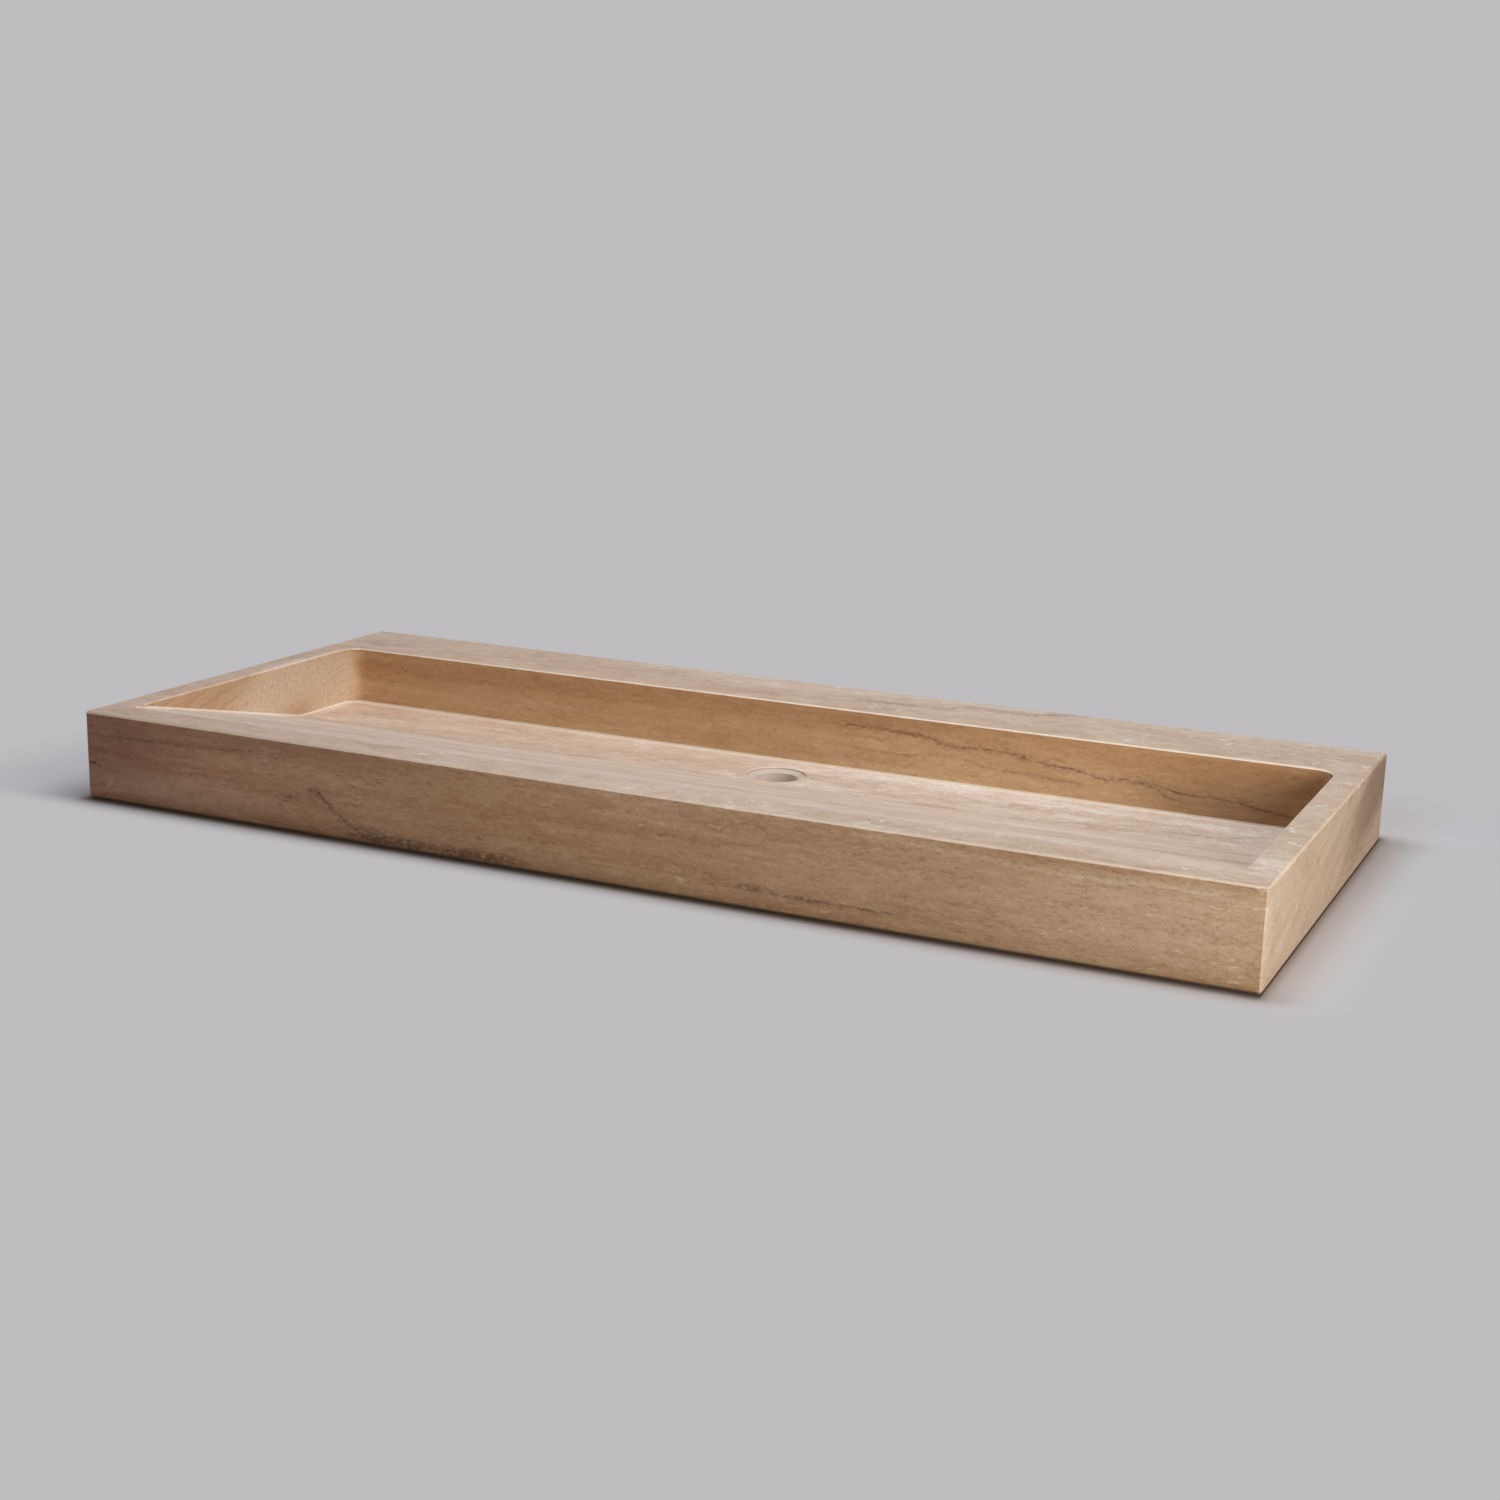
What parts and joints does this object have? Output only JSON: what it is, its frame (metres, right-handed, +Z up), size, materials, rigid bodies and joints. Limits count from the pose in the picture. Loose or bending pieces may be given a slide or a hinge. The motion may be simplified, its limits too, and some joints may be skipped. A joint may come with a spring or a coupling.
{
  "type": "stone washbasin",
  "caption": "Long, low washbasin carved from a travertine block, with a ramp falling to a level strip at the back wall and an open outlet clamped in its drain.",
  "frame": {"origin": "middle of the block's underside, on the surface that it rests on", "axes": "+X along the front edge to the right, +Y from the front face to the wall behind, +Z up out of the bowl"},
  "size_m": [1.2, 0.52, 0.09],
  "materials": {
    "travertine": "honed",
    "cream_coat": "satin",
    "pale_rubber": "matt",
    "steel_sheet": "brushed",
    "black_rubber": "matt",
    "white_plastic": "matt",
    "brass": "turned"
  },
  "bodies": {
    "root": {"basin_body": "travertine", "waste_body": "cream_coat", "flange_seal": "pale_rubber", "strainer": "steel_sheet", "lower_seal": "black_rubber", "slip_washer": "white_plastic", "lock_nut": "brass"}
  },
  "joints": []
}
